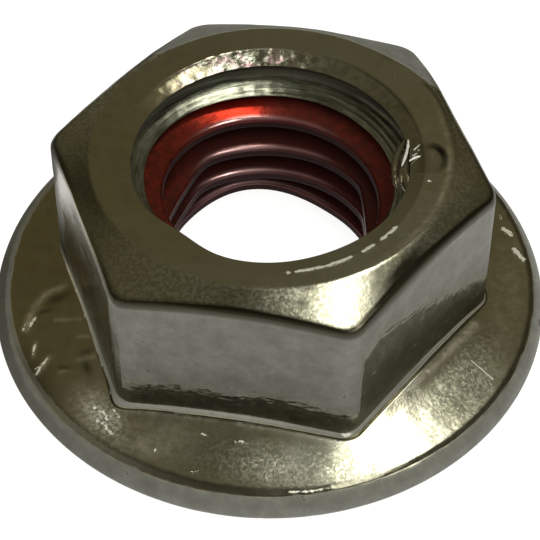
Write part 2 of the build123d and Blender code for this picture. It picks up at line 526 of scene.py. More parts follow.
def foot_r_of(angles):
    """Radius of the hexagon at the level of the flange."""
    return meet(angles, flange_z)[0]


def measured_from(points, x, y, turn_deg):
    """Distances from a place (x, y), along a direction in degrees and across it."""
    turn = radians(turn_deg)
    off_x = points[..., 0] - x
    off_y = points[..., 1] - y
    along = off_x * cos(turn) + off_y * sin(turn)
    return along, off_y * cos(turn) - off_x * sin(turn)


def spots(points, places):
    """Soft spots on the body, each given as x, y, half-widths, turn in degrees and amount."""
    total = np.zeros(points.shape[:-1])
    for x, y, wide, tall, turn_deg, amount in places:
        along, across = measured_from(points, x, y, turn_deg)
        total += amount * hump(along, wide) * hump(across, tall)
    return total


def strokes(points, lines):
    """Soft lines on the body, each given as half-width, amount and places (x, y) along it."""
    total = np.zeros(points.shape[:-1])
    for wide, amount, *places in lines:
        for (x0, y0), (x1, y1) in zip(places, places[1:]):
            run_x, run_y = x1 - x0, y1 - y0
            along, across = measured_from(points, x0, y0, degrees(atan2(run_y, run_x)))
            off = np.hypot(along - np.clip(along, 0, hypot(run_x, run_y)), across)
            total = np.maximum(total, amount * hump(off, wide))
    return total


def hole_edge_r(angles):
    """Radius of the hole's upper edge, which is pushed in a little at the front."""
    return HOLE_R - humps(angles, (0.42, -121, 17), (0.23, -56, 32), (0.06, -92, 16))


def mouth_r(angles):
    """Outer radius of the countersink, which is wider at the back."""
    return MOUTH_R + 0.33 * near(angles, 95, 55)


def bead_out(angles):
    """How far the rolled bead at the foot of the hexagon stands out; less at the side corners."""
    flatter = humps(angles, (0.09, 0, 25), (0.09, 180, 25), (0.04, -150, 15))
    return 0.15 - flatter + 0.14 * near(angles, -120.6, 3.5)


def crease_depth(angles):
    """Depth of the sharp crease outside the bead, which fades out on the left."""
    return 0.05 * (1 - near(angles, -152, 34))


# Where the dark band low on a flat ends: places along the flat from left to right, and the
# heights there, for each flat by its angle.
BAND_ALONG = (-5.2, -4.65, -4.45, -3.0, -1.0, 0.5, 2.3, 4.5, 5.2)
BACK_BAND = (3.2, 3.4, 3.5, 3.8, 3.7, 3.5, 3.6, 3.4, 3.2)
BANDS = {
    -90: (2.9, 3.1, 3.25, 3.6, 3.5, 3.6, 3.65, 3.3, 2.9),
    -30: (2.9, 2.9, 6.3, 7.0, 6.4, 5.7, 4.8, 3.7, 3.4),
    -150: (3.4, 5.0, 6.2, 8.6, 9.4, 9.4, 9.4, 9.4, 9.4),
    30: BACK_BAND,
    90: BACK_BAND,
    150: BACK_BAND,
}
# A height over the band that leaves a satin place satin all over.
OVER_BAND = 3.0


def band_height(points):
    """Height over the edge of the dark band: satin above it, glossy below it and painted dark there as
    shade.
    """
    angle = np.degrees(np.arctan2(points[..., 1], points[..., 0]))
    r, z = r_and_z(points)
    height = np.zeros(angle.shape)
    for middle, tops in BANDS.items():
        off = (angle - middle + 180) % 360 - 180
        along = r * np.sin(np.radians(off))
        on_this = np.abs(off) <= 30.001
        height = np.where(on_this, z - np.interp(along, BAND_ALONG, tops), height)
    return height


def hexagon_rows(angles):
    """Rows of the body from the mouth of the hole to the crease where the flange begins."""
    edge_r, edge_z = meet(angles, chamfer_z)
    foot_r, foot_z = meet(angles, flange_z)
    bead_r = foot_r + bead_out(angles)
    crease_r = bead_r + CREASE_OUT
    top = [
        (hole_edge_r(angles), MOUTH_FOOT_Z),
        (mouth_r(angles), TOP_Z),
        (land_r(angles), TOP_Z),
        (edge_r, edge_z),
        (foot_r + 0.02, foot_z + 0.12),
        (bead_r, flange_z(bead_r) + 0.07),
        (crease_r, flange_z(crease_r) - crease_depth(angles)),
    ]
    edge_cut = 0.34 - 0.22 * rise(np.sin(angles), 0.3, 0.8) - 0.22 * near(angles, -155, 22)
    cuts = [0, 0.20, 0.16, edge_cut[:, None], 0.05, 0.04, 0]
    rows = rounded_path(top, cuts, [7, 18, 12, 32, 2, 1], 5)
    return rows, foot_z


def foot_wider(angles):
    """How far the foot of the hole was worn open at the back."""
    return 0.30 * near(angles, 118, 26)


def flange_rows(angles):
    """Rows of the flange from the crease over its rim to the foot of the hole."""
    crease_r = foot_r_of(angles) + bead_out(angles) + CREASE_OUT
    out_r = crease_r + 0.09
    crease_z = flange_z(crease_r) - crease_depth(angles)
    rows = rounded_path([(crease_r, crease_z), (out_r, flange_z(out_r))], [0, 0], [2], 1)[:-1]
    for t in np.linspace(0, 1, 45)[:-1]:
        r = out_r + (SHOULDER_R - out_r) * t
        rows.append(np.stack([r, flange_z(r)], -1))
    rim = [(SHOULDER_R, flange_z(SHOULDER_R)), *RIM_LINE, (TOOTH_INNER_R + 0.02, 0.0)]
    cuts = [0, 0.16, 0.16, 0.16, 0.10, 0.05, 0]
    rows += rounded_path(rim, cuts, [3, 3, 3, 3, 2, 9], 4)
    under = len(rows)
    wider = foot_wider(angles)
    foot = [(TOOTH_INNER_R - 0.02, 0.0), (FOOT_MOUTH_R + wider, 0.0), (HOLE_R + wider, FOOT_DEPTH)]
    rows += rounded_path(foot, [0, 0.06, 0], [3, 4], 2)
    return rows, under


def cut_teeth(points, angles):
    """Heights of the points, with the ratchet serrations pressed up into the bearing face."""
    r, z = r_and_z(points)
    within = np.degrees(angles) % TOOTH_STEP_DEG
    on_ramp = within < TOOTH_RAMP_DEG - TOOTH_WALL_DEG / 2
    ramp = np.where(on_ramp, within / (TOOTH_RAMP_DEG - TOOTH_WALL_DEG), 0)
    depth = TOOTH_DEPTH * (r / (FLANGE_R + 1)) * np.clip(ramp, 0, 1)
    reach = (r > TOOTH_INNER_R) & (r < FLANGE_R + 0.1)
    raised = np.maximum(z, np.where(reach, depth, 0))
    return np.where(z < TOOTH_TOP_Z, raised, z)


# The punch mark: where its middle lies, its reach outwards and along, and its depth.
STAKE_DEG = 9.0
STAKE_R = 7.1
STAKE_OUT = 0.74
STAKE_HALF = 1.0
STAKE_DEPTH = 0.070833


def stake_frame(points):
    """Distances from the middle of the punch mark, outwards and round the hole."""
    out, side = measured_from(points, 0, 0, STAKE_DEG)
    return out - STAKE_R, side


def stake_ring(out, side):
    """How far out a place of the punch mark lies: 0 in its middle and 1 on its outline."""
    return np.hypot(np.maximum(out, 0) / STAKE_OUT, side / STAKE_HALF)


def stake_depth(points):
    """The shallow dent of the punch: round on its outer side and open towards the hole."""
    out, side = stake_frame(points)
    open_side = rise(side, -0.2, 0.7) * rise(out, 0.55, 0.0)
    dent = rise(stake_ring(out, side), 1.0, 0.74) * rise(out, -0.85, -0.50)
    return STAKE_DEPTH * dent * (1 - open_side)


def stake_wall(points):
    """1 on the outer wall of the dent, which lies in its own shade, and 0 elsewhere."""
    out, side = stake_frame(points)
    ring = stake_ring(out, side)
    wall = rise(ring, 0.50, 0.76) * rise(ring, 1.06, 0.96) * (out > -0.50)
    floor = 0.26 * rise(ring, 0.95, 0.75) * rise(out, -0.7, -0.4)
    turn = np.arctan2(side, out / STAKE_OUT)
    return wall * humps(turn, (1, 48, 50), (0.45, -20, 45)) + floor


def roughened(points, swell, ripple, seed):
    """Unevenness of forged and turned metal, from broad swell and fine ripple in mm."""
    return wavy(points, 2.2, 3.1 + seed) * swell + wavy(points, 0.7, 9.7 + seed) * ripple


# Painted shade in the front of the chamfer, which dims its highlight, given as for spots().
CHAMFER_SPOTS = (
    (3.05, -7.12, 0.5, 0.14, 12, 0.7),
    (2.85, -7.72, 0.42, 0.2, 18, 0.5),
)
# A nick beside the punch mark, given as for strokes().
LAND_NICKS = ((0.07, 0.75, (6.98, -0.30), (7.14, -0.27)),)


class TopPlaces:
    """Places on the hexagon and its top, as masks from 0 to 1 over its points."""

    def __init__(self, points, angles):
        r, z = r_and_z(points)
        low = z < 3.0
        from_foot = r - foot_r_of(angles)
        from_bead = from_foot - bead_out(angles)
        self.angles = angles
        self.bead = rise(from_foot, 0.01, 0.05) * rise(from_bead, 0.04, 0.0) * low
        self.crease = rise(from_bead, 0.0, 0.04) * low
        self.left = rise(-np.degrees(angles) % 360, 121, 124) * (angles > pi)
        self.far_left = rise(np.degrees(angles), 184, 192)
        self.back = rise(np.sin(angles), 0.62, 0.80)
        self.over_edge = z - meet(angles, chamfer_z)[1]
        edge_shift = 0.60 * self.back
        self.below_edge = rise(self.over_edge, edge_shift + 0.04, edge_shift - 0.08)
        self.outer = r > land_r(angles) + 0.20
        self.edge = hump(self.over_edge - 0.03, 0.10) * self.outer
        self.upper = (1 - self.below_edge) * (z > 6.5)
        self.chamfer = rise(r - land_r(angles), -0.05, 0.15) * self.upper
        self.mouth = (r < mouth_r(angles) + 0.02) & (z > MOUTH_FOOT_Z - 0.02)
        self.top_level = z > 9.0


def flats_painted_light(at):
    """Painted light and shade on the six sides, on their upper edge and on the bead."""
    angles = at.angles
    # Painted shade: a dark rounding under the chamfer's edge, for the dark room that it mirrors.
    under_end = 0.34 + 0.22 * near(angles, -44, 13)
    under_edge = rise(at.over_edge, 0.15, 0.05) * rise(at.over_edge, -under_end, -0.16)
    strength = (1 - at.back) * (1 - 0.9 * near(angles, -150, 20)) * (1 - 0.5 * near(angles, 30, 25))
    tone_and_painted_light = -0.85 * under_edge * at.outer * strength
    # Painted shade on the left flat.
    left_shade = 0.45 + 0.15 * near(angles, -145, 22)
    tone_and_painted_light -= left_shade * at.left * at.below_edge * (1 - at.bead) * (1 - at.edge)
    tone_and_painted_light += 0.02 * near(angles, -30, 24) * at.below_edge
    # Painted highlights on the upper edges and the bead, and painted shade in the crease outside the bead.
    tone_and_painted_light += at.edge * (0.22 * near(angles, -150, 20) + 0.05 * at.back)
    bead_painted_light = humps(angles, (0.30, -155, 24), (0.18, -95, 35), (-0.15, 20, 40))
    return tone_and_painted_light + at.bead * bead_painted_light - 0.30 * at.crease * (1 - near(angles, -155, 30))


def chamfer_shade(at):
    """Painted shade on the turned chamfer round the nut, and more of it low on its front right."""
    angles = at.angles
    shade = humps(angles, (0.65, 204, 20), (0.42, -88, 10), (0.10, -98, 26), (0.25, -72, 7), (0.25, 25, 26))
    front_right = 0.40 * near(angles, -24, 26) * rise(at.over_edge, 0.60, 0.25)
    front_right = front_right + 0.75 * near(angles, -40, 11) * rise(at.over_edge, 0.32, 0.20)
    return 0.04 + shade + front_right


def top_painted_light(at, points):
    """Painted light and shade on the flat ring, the chamfer and the countersink."""
    angles = at.angles
    r, z = r_and_z(points)
    # Painted shade: dark lines along the back right of the flat ring's edge and of the countersink's edge,
    # the shaded wall of the punch mark, a darker countersink, and spots that dim the chamfer's highlight.
    land_line = hump(r - land_r(angles) - 0.02, 0.09) * near(angles, 52, 42) * (1 - at.below_edge)
    mouth_line = hump(r - mouth_r(angles), 0.07) * near(angles, 46, 24) * (z > MOUTH_FOOT_Z)
    tone_and_painted_light = 0.04 * near(angles, -10, 60) * (1 - at.chamfer) * at.top_level
    tone_and_painted_light -= (0.55 * land_line + 0.85 * stake_wall(points)) * at.top_level
    tone_and_painted_light -= humps(angles, (0.30, 30, 60), (0.05, 160, 25)) * at.mouth
    tone_and_painted_light -= 0.60 * mouth_line + chamfer_shade(at) * at.chamfer
    chamfer_painted_shade = spots(points, CHAMFER_SPOTS) * at.chamfer
    return tone_and_painted_light - np.clip(chamfer_painted_shade + wavy(points, 0.3, 9.0) * 1.2 * chamfer_painted_shade, 0, 1)


def mouth_ridge_and_painted_glints(at, points):
    """1 on the broken run of glints along the front of the countersink's outer edge: a painted highlight on
    a slightly raised ridge.
    """
    r = r_and_z(points)[0]
    front = humps(at.angles, (1, -62, 13), (1, -42.5, 2.4), (1, -32.5, 4.7))
    ridge_and_painted_glints = rise(front, 0.2, 0.6) * rise(wavy(points, 0.30, 31.0), -0.55, -0.15)
    return ridge_and_painted_glints * hump(r - mouth_r(at.angles) - 0.02, 0.080) * at.top_level


def nut_top():
    """The hexagon with its turned top, punch mark and the mouth of the hole."""
    angles = column_angles()
    rows, foot_z = hexagon_rows(angles)
    points = revolve_rows(rows, angles)
    normals = grid_normals(points)
    r, z = r_and_z(points)
    at = TopPlaces(points, angles)
    ridge_and_painted_glints = mouth_ridge_and_painted_glints(at, points)

    satin = at.below_edge * at.outer * rise(z - foot_z, 0.10, 0.16)
    satin *= 1 - 0.55 * at.left * at.far_left
    satin = np.maximum(satin, at.bead * (z < foot_z + 0.3))
    # Near the left corner the left flat is rougher, and it is painted darker as shade.
    dull_and_painted_shade = 0.5 * at.left * (1 - at.far_left) * (at.over_edge < 0)
    torn = at.mouth * np.clip(humps(angles, (1, 112, 28), (0.25, 50, 36)), 0, 1)
    grainy = 0.10 + 0.65 * rise(r - land_r(angles), -0.10, 0.15)
    grainy = grainy * at.upper * (1 - at.mouth) * (1 - 0.6 * near(angles, -150, 42))
    grainy *= 1 - humps(angles, (0.55, 5, 30), (0.60, -50, 9))
    frost = 0.24 * hump(r - land_r(angles) + 0.20, 0.12) * near(angles, -5, 32)
    frost = (frost + 0.06 * (1 - at.mouth) * near(angles, -10, 60)) * at.top_level
    # Painted reflection: a browner tint on the left, on the right and on the chamfer's back right.
    warm_painted_reflection = humps(angles, (0.7, 190, 70), (0.5, 20, 40)) + 0.5 * at.chamfer * near(angles, 30, 25)
    # A nick on the flat ring, and a painted glint at the front right corner of the bead.
    nick = 0.9 * at.bead * near(angles, -61, 1.5) + strokes(points, LAND_NICKS) * at.top_level
    marks = dict(satin=satin, warm_painted_reflection=warm_painted_reflection, torn=torn, grainy=grainy, frost=frost, dull_and_painted_shade=dull_and_painted_shade)
    marks["band"] = np.where(at.bead > 0.5, OVER_BAND, band_height(points))
    marks["tone_and_painted_light"] = flats_painted_light(at) + top_painted_light(at, points) - 0.5 * dull_and_painted_shade
    # The run of glints along the mouth is painted in with the bright nicks.
    marks["nick"] = nick + 1.5 * ridge_and_painted_glints

    lift = roughened(points, 0.010, 0.004, 0.0) * (1 + 1.5 * (at.over_edge < 0))
    lift += wavy(points, 0.45, 21.0) * 0.030 * torn + 0.04 * ridge_and_painted_glints
    points = points + normals * lift[..., None]
    points[..., 2] -= stake_depth(points) * (z > MOUTH_FOOT_Z - 0.02)
    points[..., 2] = np.minimum(points[..., 2], HEIGHT)
    return add_piece("forged_hexagon", points, plated, marks, sharp_deg=50)


# Pale, clouded, dark and sandy places of the flange, given as for spots(). The pale ones are painted
# light, and the dark ones are painted shade beside the highlight, with a few real dark marks on the left.
PALE_SPOTS = (
    (-6.0, -9.5, 1.4, 0.9, -48, 0.15),
    (-3.6, -10.6, 2.0, 1.2, 15, 0.1),
    (3.1, -10.3, 0.9, 0.9, 0, 0.4),
    (1.6, -10.9, 1.6, 1.0, 10, 0.14),
    (7.6, -6.7, 1.0, 1.0, 30, 0.12),
)
FROSTED_SPOTS = (
    (-6.2, -9.4, 1.1, 0.75, -48, 0.75),
    (-5.2, -10.1, 0.7, 0.5, -48, 0.35),
    (-3.4, -10.7, 2.2, 1.1, 15, 0.22),
    (1.4, -10.8, 2.2, 1.0, 0, 0.2),
    (10.4, -3.6, 1.0, 1.6, 0, 0.1),
    (11.3, 1.0, 1.0, 4.5, 0, 0.13),
)
DARK_SPOTS = (
    (0.4, -10.7, 2.4, 1.3, 0, 0.3),
    (-9.4, -3.6, 0.55, 0.3, 30, 0.55),
    (-9.9, -4.4, 0.35, 0.12, 20, 0.5),
    (-9.4, -7.9, 1.9, 0.55, -48, 0.45),
    (-8.1, -7.4, 0.35, 0.12, 0, 0.6),
    (-7.1, -7.3, 0.2, 0.45, 30, 0.65),
    (-7.3, -6.5, 0.4, 0.12, 20, 0.5),
    (10.3, -3.2, 1.2, 1.6, 0, 0.18),
    (9.7, -6.2, 0.8, 1.9, -35, 0.3),
)
GRAINY_SPOTS = (
    (8.9, -6.6, 2.0, 2.6, 40, 0.5),
    (1.8, -10.9, 3.2, 1.2, 5, 0.8),
    (10.1, -4.2, 1.7, 2.2, 0, 0.8),
    (-5.6, -9.9, 1.6, 0.8, -40, 0.7),
    (5.5, -10.4, 1.5, 1.5, 0, 0.5),
)
# Worn ridge of the pressed mark on the left, and bars beside it, given as for strokes().
RIDGE_LINES = (
    (0.2, 1.0, (-9.35, -2.95), (-10.0, -3.3), (-10.33, -3.9), (-10.45, -4.5), (-10.5, -5.4)),
    (0.12, 0.8, (-9.83, -6.2), (-9.75, -6.95)),
    (0.14, 0.9, (-9.0, -6.95), (-9.3, -7.85)),
    (0.1, 0.6, (-9.24, -4.85), (-8.04, -4.79)),
    (0.1, 0.6, (-7.9, -5.75), (-7.43, -5.7)),
    (0.11, 0.6, (-7.6, -6.95), (-6.76, -6.72)),
    (0.1, 0.5, (-8.28, -7.63), (-7.84, -7.49)),
)
# Bright nicks and scuffs of the flange, a few of them on its front left painted as highlight, and
# the broad strips where it is clouded, given as for strokes().
BRIGHT_LINES = (
    (0.08, 0.85, (-10.2, -4.75), (-10.38, -5.45)),
    (0.07, 0.75, (-10.62, -5.15), (-10.6, -5.6)),
    (0.08, 0.85, (-9.82, -6.3), (-9.76, -6.9)),
    (0.08, 0.9, (-9.05, -7.0), (-9.2, -7.4), (-9.33, -7.85)),
    (0.07, 0.75, (-9.2, -7.35), (-9.45, -7.55)),
    (0.16, 0.3, (-10.0, -3.4), (-10.3, -4.0), (-10.4, -5.2)),
    (0.09, 0.75, (-6.3, -9.3), (-5.8, -9.5), (-5.5, -9.9)),
    (0.09, 0.75, (-6.0, -9.9), (-5.6, -10.1), (-5.2, -10.5)),
    (0.08, 0.7, (-5.4, -9.3), (-5.0, -9.7)),
    (0.07, 0.6, (-8.2, -4.8), (-8.0, -4.79)),
    (0.17, 1.0, (10.75, 4.75), (11.15, 4.5)),
    (0.17, 1.0, (11.42, 3.5), (11.85, 3.0)),
    (0.08, 0.8, (10.45, 5.65), (10.6, 5.45)),
    (0.07, 0.8, (3.0, -12.02), (3.8, -11.85), (4.66, -11.5)),
    (0.07, 0.8, (-1.3, -10.0), (-0.9, -10.05)),
    (0.07, 0.9, (0.3, -10.15), (0.7, -10.08)),
    (0.07, 0.7, (-3.1, -11.0), (-3.1, -11.3)),
    (0.07, 0.7, (-1.3, -11.85), (-1.05, -11.7)),
)
STRIP_LINES = (
    (0.2, 0.6, (-5.0, -9.2), (-2.4, -9.15), (0.3, -9.15)),
    (0.22, 1.0, (0.3, -9.15), (3.0, -9.2), (4.9, -9.35)),
    (0.2, 0.8, (7.1, -6.45), (8.25, -4.75), (9.25, -3.0), (9.95, -1.7)),
)


def nut_flange():
    """The dished flange with its rounded rim and the serrated bearing face."""
    angles = column_angles()
    rows, under = flange_rows(angles)
    points = revolve_rows(rows, angles)
    normals = grid_normals(points)
    row = np.arange(len(rows))[:, None]
    r, z = r_and_z(points)
    ragged_r = r + (wavy(points, 0.5, 8.0) + wavy(points, 0.25, 5.0)) * 0.04
    upper = (row > 1) & (r < SHOULDER_R + 0.2) & (z > 1.2)
    over_rim = z > 1.0
    left = near(angles, 192, 46)

    start = 12.22 - 0.20 * near(angles, -105, 40)
    shoulder = rise(ragged_r, start, start + 0.2) * (1 - rise(ragged_r, *NOSE_LIMITS))
    nose = rise(r + wavy(points, 0.6, 2.0) * 0.05, *NOSE_LIMITS) * (z > 0.14) * (row < under)
    nose = np.maximum(nose, left * rise(ragged_r, 12.26, 12.34) * over_rim)
    # Painted shade: the left rim outside the tan top is dulled and painted dark, for the dark room that it
    # mirrors.
    tan_end = 12.48 + 0.24 * rise(np.degrees(angles) % 360, 195, 225)
    outside = rise(ragged_r, tan_end, tan_end + 0.10) + (z < 0.95)
    dull_and_painted_shade = np.clip(outside, 0, 1) * left * (row < under)

    ridge = strokes(points, RIDGE_LINES) * upper
    nicks = strokes(points, BRIGHT_LINES) * upper
    strips = strokes(points, STRIP_LINES) * upper
    frost = spots(points, FROSTED_SPOTS) + 0.40 * ridge + 0.50 * strips
    broken = wavy(points, 0.35, 3.0) + wavy(points, 0.16, 7.0)
    frost = np.clip(frost + broken * 0.45 * frost, 0, 1) * upper
    grainy = np.clip(spots(points, GRAINY_SPOTS), 0, 1) * upper * rise(r, 9.6, 10.2)

    # Painted light and shade: pale and dark places, most of them beside the highlight, a darker left side,
    # a dark shoulder line and crease, a dark underside and foot, the dark left rim and the darker low part
    # of the nose; the worn ridge and the clouded strips are lighter.
    tone_and_painted_light = (spots(points, PALE_SPOTS) - spots(points, DARK_SPOTS)) * upper
    tone_and_painted_light += 0.25 * ridge + 0.25 * strips - 0.12 * near(angles, 175, 40) * upper
    tone_and_painted_light -= 0.70 * shoulder * (1 - left) * over_rim
    tone_and_painted_light -= 0.35 * (row <= 1) * (1 - near(angles, -155, 30)) + 0.3 * ((row >= under) | (z < 0.05))
    tone_and_painted_light -= 0.85 * dull_and_painted_shade + 0.55 * nose * rise(0.34 - z, 0.0, 0.08)
    # Painted reflection: a browner tint on the left and on the right.
    warm_painted_reflection = humps(angles, (0.9, 185, 50), (0.5, 15, 40))
    marks = dict(satin=nose, band=OVER_BAND, tone_and_painted_light=tone_and_painted_light, warm_painted_reflection=warm_painted_reflection, grainy=grainy, frost=frost, dull_and_painted_shade=dull_and_painted_shade)
    marks["nick"] = nicks

    sandy = grainy * rise(6.5 - points[..., 0], 0.0, 2.0)
    lift = roughened(points, 0.012, 0.004, 5.0) * (z > 0.3)
    lift += 0.035 * ridge + 0.02 * nicks + wavy(points, 0.5, 4.4) * 0.002 * sandy
    lift *= rise(FLANGE_R - r, 0.0, 0.3)
    points = points + normals * lift[..., None]
    points[..., 2] = cut_teeth(points, angles)
    return add_piece("serrated_flange", points, plated, marks, sharp_deg=35)


# ---- tapped hole ----
HOLE_ANGLES = np.radians(np.arange(0, 360, 0.6))
# The coil hides the hole between these heights.
HIDDEN_FROM_Z = 1.9
HIDDEN_TO_Z = 6.9
# Crest of the open thread above the coil: its distance from the axis and mean height.
OPEN_CREST_R = 5.52
OPEN_CREST_Z = 7.84


def groove_r(angles, z):
    """Radius of the tapped hole: crests on the drilled hole, with the helical groove cut in."""
    phase = (z - COIL_START_Z - PITCH * (np.degrees(angles) - FOOT_END_DEG) / 360) / PITCH
    from_middle = np.abs((phase + 0.5) % 1 - 0.5) * PITCH
    depth = (WIRE_HALF - from_middle) / FLANK + NOMINAL_R
    depth = np.clip(depth, HOLE_R - 1, ROOT_R)
    soft = 0.05
    return np.logaddexp(depth / soft, HOLE_R / soft) * soft


def add_hole(name, points, tone_and_painted_light, thread_painted_shade):
    """A band of the hole, with the fine tearing that the tap left."""
    points += grid_normals(points) * (wavy(points, 0.5, 5.0) * 0.010)[..., None]
    return add_piece(name, points, tapped, dict(tone_and_painted_light=tone_and_painted_light, thread_painted_shade=thread_painted_shade))


def upper_thread():
    """The open thread above the coil, whose crest was pressed in over the topmost coil."""
    angles = HOLE_ANGLES
    edge_r = hole_edge_r(angles)
    turn = (np.degrees(angles) + 90) % 360 - 180
    crest_z = OPEN_CREST_Z + 0.80 * turn / 360
    crest_r = OPEN_CREST_R + 0.05 * np.sin(3 * angles) + 0.03 * np.sin(5 * angles + 1)
    crest_r += 0.16 * near(angles, 185, 30)
    above = edge_r + MOUTH_FOOT_Z / FLANK - crest_r + crest_z / SEEN_FLANK
    root_z = above / (1 / FLANK + 1 / SEEN_FLANK)
    root_r = edge_r + (MOUTH_FOOT_Z - root_z) / FLANK
    path = [
        (edge_r, MOUTH_FOOT_Z),
        (root_r, root_z),
        (crest_r, crest_z),
        (HOLE_R, crest_z - 0.55),
        (HOLE_R, HIDDEN_TO_Z),
    ]
    cuts = [0, 0.15, 0.05, 0.05, 0]
    points = revolve_rows(rounded_path(path, cuts, [14, 44, 6, 4], 4), angles)
    r, z = r_and_z(points)
    on_flank = rise(r, crest_r + 0.08, crest_r + 0.2) * (z < root_z) * (z > crest_z)
    ridges = near(angles, 42, 34) * on_flank * np.sin(2 * pi * r / 0.30 + 2 * angles)
    points[..., 2] += 0.014 * ridges
    # Painted shade on the right of the flank and at its sides, less on the ridges; painted light in the
    # deep groove.
    right = rise(-np.abs(np.degrees(angles) - 30), -72, -45)
    sides = 0.22 * rise(np.degrees(angles), 122, 140) * (angles < 4)
    thread_painted_shade = np.clip(0.14 * right * on_flank + sides - 0.7 * ridges, 0, 1)
    return add_hole("upper_thread", points, rise(r, 6.35, 6.75) * 0.9, thread_painted_shade)


def lower_thread():
    """The thread below the coil, down to the foot of the hole."""
    z = np.linspace(HIDDEN_FROM_Z, FOOT_DEPTH, 34)[:, None]
    r = groove_r(HOLE_ANGLES, z) + foot_wider(HOLE_ANGLES)
    # Some painted light and some painted shade all round.
    return add_hole("lower_thread", round_axis(r, HOLE_ANGLES, z), 0.5, 0.5)


# ---- insert ----
CREST_HALF = 0.25


def wire_section():
    """The wire's section as (r, z from its middle): V back in the groove, flat crest in front."""
    back_r = ROOT_R - 0.03
    back = WIRE_HALF - (back_r - NOMINAL_R) * FLANK
    half = [
        (back_r, 0.0),
        (back_r, back),
        (NOMINAL_R, CREST_HALF + (NOMINAL_R - CREST_R) * SEEN_FLANK),
        (CREST_R, CREST_HALF),
        (CREST_R, 0.0),
    ]
    upper = np.array(rounded_path(half, [0, 0.05, 0.12, 0.20, 0], [1, 3, 7, 2], 8))
    lower = np.array(rounded_path(half, [0, 0.05, 0.12, 0.07, 0], [1, 3, 7, 3], 4))
    return np.concatenate([upper, lower[-2:0:-1] * (1, -1)])


# Straight runs of the locking coils: turn angle of the middle, distance from the axis and
# how softly the run begins and ends.
CHORDS = (
    (-188.0, 4.33, 0.2),
    (-348.0, 4.42, 0.12),
    (-550.0, 4.5, 0.12),
    (-708.0, 4.55, 0.07),
)
# Places where the wire is pressed in or, with a minus, sprung out: turn angle of the
# middle, half-width in degrees and how far.
PRESSED_PLACES = (
    (-971, 31, -0.66),
    (-896, 16, 0.17),
    (-250, 42, 0.2),
    (180, 40, 0.12),
)


def chord_cut(turns):
    """How much nearer to the axis the straight runs bring the crest."""
    cut = 0 * turns
    for middle, distance, soft in CHORDS:
        off = np.radians(np.clip(turns - middle, -50, 50))
        cut += np.logaddexp(0, (CREST_R - distance / np.cos(off)) / soft) * soft
    return cut


def pressed_in(turns):
    """How much nearer to the axis the crest lies than that of a true helix."""
    shift = chord_cut(turns)
    for middle, wide, amount in PRESSED_PLACES:
        shift += amount * hump(turns - middle, wide)
    shift += 0.18 * near(np.radians(turns), 100, 55) * rise(turns, -860, -740)
    return shift - 0.10 * rise(-turns, 900, 925) - 0.05 * rise(-turns, 1010, 1030)


def wire_insert():
    """The coil of dyed wire, with locking coils that are pressed to straight runs."""
    section_r, section_z = wire_section().T
    turns = np.arange(FOOT_END_DEG, TOP_END_DEG + 0.01, 1.5)[:, None]
    turn = np.radians(turns)
    inward = rise(NOMINAL_R + 0.25 - section_r, 0.0, 0.9)
    z = COIL_START_Z + PITCH * (turns - FOOT_END_DEG) / 360 + section_z
    points = round_axis(section_r - pressed_in(turns) * inward, turn, z)

    on_crest = rise(CREST_R + 0.10 - section_r, 0.0, 0.08)
    lower_side = rise(0.05 - section_z, 0.0, 0.1)
    # Painted shade: the crest lands and the undersides are marked to be nearly black.
    land = np.maximum(on_crest * rise(CREST_HALF - section_z, 0.10, 0.18), lower_side)
    edge = on_crest * hump(section_z + CREST_HALF - 0.03, 0.02)
    # Painted highlight, partly worn dye: the pale crest edge.
    worn = hump(section_r - CREST_R - 0.10, 0.07) * rise(section_z, 0.06, 0.14)
    # Painted shade: the lower coils, the right of the top coil and the crest edges on the right are
    # darkened, less so on the left of the second coil.
    painted_shade = np.maximum(rise(-turns, 70, 230), 0.60 * rise(110 - turns, 0, 12))
    painted_shade *= 1 - 0.5 * hump(turns + 188, 24)
    rim = hump(section_r - CREST_R - 0.08, 0.12)
    marks = {
        "land": land,
        "edge": edge * (1 - 0.6 * near(turn, 0, 40)),
        "painted_shade": 0.85 * np.maximum(painted_shade, near(turn, 50, 34) * rim),
        # The pale crest edge and the richer red, both painted highlight, are kept to where the light falls
        # on the top coils.
        "worn": worn * np.clip(humps(turn, (1, 118, 20), (0.2, 78, 14)), 0, 1),
        "painted_red_highlight": near(turn, 117, 22) * (turns > -180),
    }
    faces = tube_faces(len(turns), len(section_r))
    return add_piece("wire_coil", points, dyed, marks, faces, "locking_wire_insert", sharp_deg=50)


# ---- punch burr ----
# Folds of the burr: half-width, lightness, which is painted light and shade, and places (x, y, z)
# from one end to the other.
FOLDS = (
    (0.15, -0.6, (5.78, 2.55, 9.0), (5.47, 1.43, 9.0), (5.49, 0.58, 8.9), (5.7, -0.4, 8.8)),
    (0.07, 0.75, (5.86, 2.22, 9.26), (5.89, 1.52, 9.22), (5.77, 0.62, 9.15)),
    (0.12, -0.6, (5.77, 0.75, 9.0), (5.8, 0.3, 8.92), (5.86, -0.15, 8.86)),
    (0.055, 0.9, (6.06, 0.92, 9.2), (6.3, 1.18, 9.22), (6.6, 1.32, 9.22)),
    (0.035, 0.5, (6.44, 1.98, 9.3), (6.16, 1.62, 9.22)),
    (0.035, 0.3, (6.36, 1.56, 9.26), (6.5, 1.8, 9.26)),
    (0.04, 0.5, (6.5, 1.64, 9.22), (6.14, 1.25, 9.2)),
)


